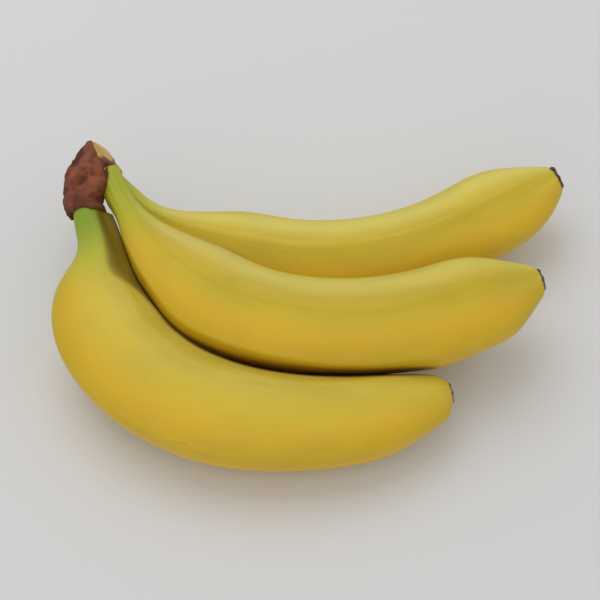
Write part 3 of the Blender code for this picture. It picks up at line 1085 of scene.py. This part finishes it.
def crown_bark_mesh(fruits):
    """The crown with its lumps, wrinkles, cracks and scars."""
    mesh = fine_crown(fruits)
    points, normals = read_points(mesh)
    front, middle, _ = fruits
    points, cut = cut_crown(points, normals, middle)
    fringe = fade(clearance(points, LOOKS, max(FRINGE_REACH)), *FRINGE_REACH)
    marks = marks_on_crown(points, normals)

    neck_axis = front.tangent[0]
    squeezed = points + np.outer(points @ neck_axis, neck_axis) * CREASE_SQUEEZE
    grooves = 0
    # Painted shade in the sunken scars, the wrinkles and the cracks
    dark = SCAR_DARKNESS * fade(marks, 0, -SCAR_DEPTH)
    for (depth, size, seed), darkness in zip((WRINKLES, CRACKS), CREASE_DARKNESS):
        creases = creases_at(squeezed, size, seed) ** 2
        grooves = grooves + depth * creases
        dark = dark + darkness * creases

    layers = bumps(points, BARK_LUMPS) + bumps(points, BARK_BUMPS) + bumps(points, BARK_GRAIN)
    bark = layers + bumps(points, BARK_FRINGE) * fringe + marks - grooves
    face = bumps(points, FACE_BUMPS) + bumps(points, FACE_GRAIN)
    height = bark * (1 - cut) + face * cut
    points = points + normals * height[:, None]
    mesh.vertices.foreach_set("co", points.ravel())
    mesh.update()
    # Painted shade for the hollows and painted light for the lumps
    set_attribute(mesh, "hollow_shade", np.clip(dark, 0, 1))
    set_attribute(mesh, "raised", fade(height, 0, RAISED_HEIGHT))
    set_attribute(mesh, "cut", cut)
    set_attribute(mesh, "fringe", fringe)
    return mesh


def crown_material():
    """Dried, woody skin with a paler face where the knife went through, painted shade in its hollows
    and painted light on its lumps.
    """
    graph = Graph("dried_crown")
    place = graph.node("ShaderNodeNewGeometry", {}).outputs["Position"]
    patches = graph.noise(place, PATCH_SIZE, detail=3)
    grain = graph.noise(place, BARK_GRAIN_SIZE, detail=4, rough=0.65)
    fibres = graph.long_noise(place, FIBRES, detail=3)
    colour = graph.mix(graph.between(patches, 0.35, 0.65), BARK_DARK, BARK_RED)
    # Painted light on the lumps
    raised = graph.between(graph.attribute("raised"), 0.1, 1, 0, 0.5)
    colour = graph.mix(raised, colour, BARK_RAISED)
    colour = graph.mix(graph.between(grain, 0.5, 0.72, 0, 0.35), colour, BARK_DUSTY)
    # Painted shade in the hollows
    hollow_shade = graph.between(graph.attribute("hollow_shade"), 0.15, 0.9, 0, 0.85)
    colour = graph.mix(hollow_shade, colour, HOLLOW_SHADE_BROWN)
    fringe = graph.between(graph.attribute("fringe"), 0.3, 0.9, 0, 0.65)
    colour = graph.mix(fringe, colour, BARK_EDGE)
    face = graph.mix(graph.between(patches, 0.35, 0.6), FACE_PALE, FACE_YELLOW)
    face = graph.mix(graph.between(fibres, 0.5, 0.75, 0, 0.4), face, FACE_FIBRE)
    colour = graph.mix(graph.attribute("cut"), colour, face)
    roughness = graph.between(grain, 0.3, 0.7, 0.55, 0.8)
    normal = graph.bump(grain, BARK_GRAIN_DEPTH, 0.7)
    normal = graph.bump(patches, PATCH_DEPTH, 0.4, normal)
    return graph.finish(colour, roughness, normal, BARK_GLOSS)


# ---------------------------------------------------------------- putting the bunch together


def make_bunch():
    """Each fruit, its dried end, and the crown that holds them."""
    crown_low, crown_high = (np.array(corner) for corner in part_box("crown"))
    blossom = stub_material()
    fruits = []
    for number, node in enumerate(LOOKS):
        fruit = Fruit(node, (crown_low + crown_high) / 2, SEED_STEP * number)
        fruit.carve()
        skin = peel_material(node + "_peel", fruit.looks)
        add_piece(node + "_peel", fruit.peel_mesh(), "peel", skin, node)
        add_piece(node + "_blossom_end", stub_mesh(fruit), "dried_stem", blossom)
        fruits.append(fruit)
    add_piece("crown_bark", crown_bark_mesh(fruits), "dried_stem", crown_material(), "crown")


make_bunch()


# ---------------------------------------------------------------- floor, lights and camera

FLOOR_SIZE = 3
FLOOR_SQUARES = 8
FLOOR_GREY = (0.8, 0.8, 0.8, 1)
FLOOR_ROUGHNESS = 0.9
WORLD_WHITE = (1, 1, 1, 1)
WORLD_STRENGTH = 0.58
# Lights: (name, place, size, power)
LIGHTS = (
    ("key", (-0.25, 0.4, 1.1), 1.0, 3.3),
    ("fill", (-0.45, -1.15, 0.5), 1.1, 1.7),
)


def area_light(name, place, size, power):
    data = bpy.data.lights.new(name, "AREA")
    data.shape = "DISK"
    data.size = size
    data.energy = power
    light = new_object(name, data)
    light.location = place
    light.rotation_euler = (AIM - Vector(place)).to_track_quat("-Z", "Y").to_euler()


def make_stage():
    shape = bmesh.new()
    bmesh.ops.create_grid(shape, x_segments=FLOOR_SQUARES, y_segments=FLOOR_SQUARES, size=FLOOR_SIZE)
    mesh = bpy.data.meshes.new("floor")
    shape.to_mesh(mesh)
    shape.free()
    floor = new_object("floor", mesh)
    paint = bpy.data.materials.new("floor")
    paint.use_nodes = True
    shader = paint.node_tree.nodes["Principled BSDF"]
    shader.inputs["Base Color"].default_value = FLOOR_GREY
    shader.inputs["Roughness"].default_value = FLOOR_ROUGHNESS
    mesh.materials.append(paint)
    world = bpy.data.worlds.new("studio")
    world.use_nodes = True
    background = world.node_tree.nodes["Background"]
    background.inputs["Color"].default_value = WORLD_WHITE
    background.inputs["Strength"].default_value = WORLD_STRENGTH
    bpy.context.scene.world = world
    for light in LIGHTS:
        area_light(*light)
    bpy.context.scene.view_settings.view_transform = "Standard"


def make_camera():
    elevation = math.radians(CAMERA_ELEVATION)
    back = Vector((0, -math.cos(elevation), math.sin(elevation)))
    data = bpy.data.cameras.new("camera")
    data.lens = LENS
    data.sensor_width = SENSOR
    camera = new_object("camera", data)
    camera.location = AIM + back * CAMERA_DISTANCE
    camera.rotation_euler = back.to_track_quat("Z", "Y").to_euler()
    bpy.context.scene.camera = camera


make_stage()
make_camera()
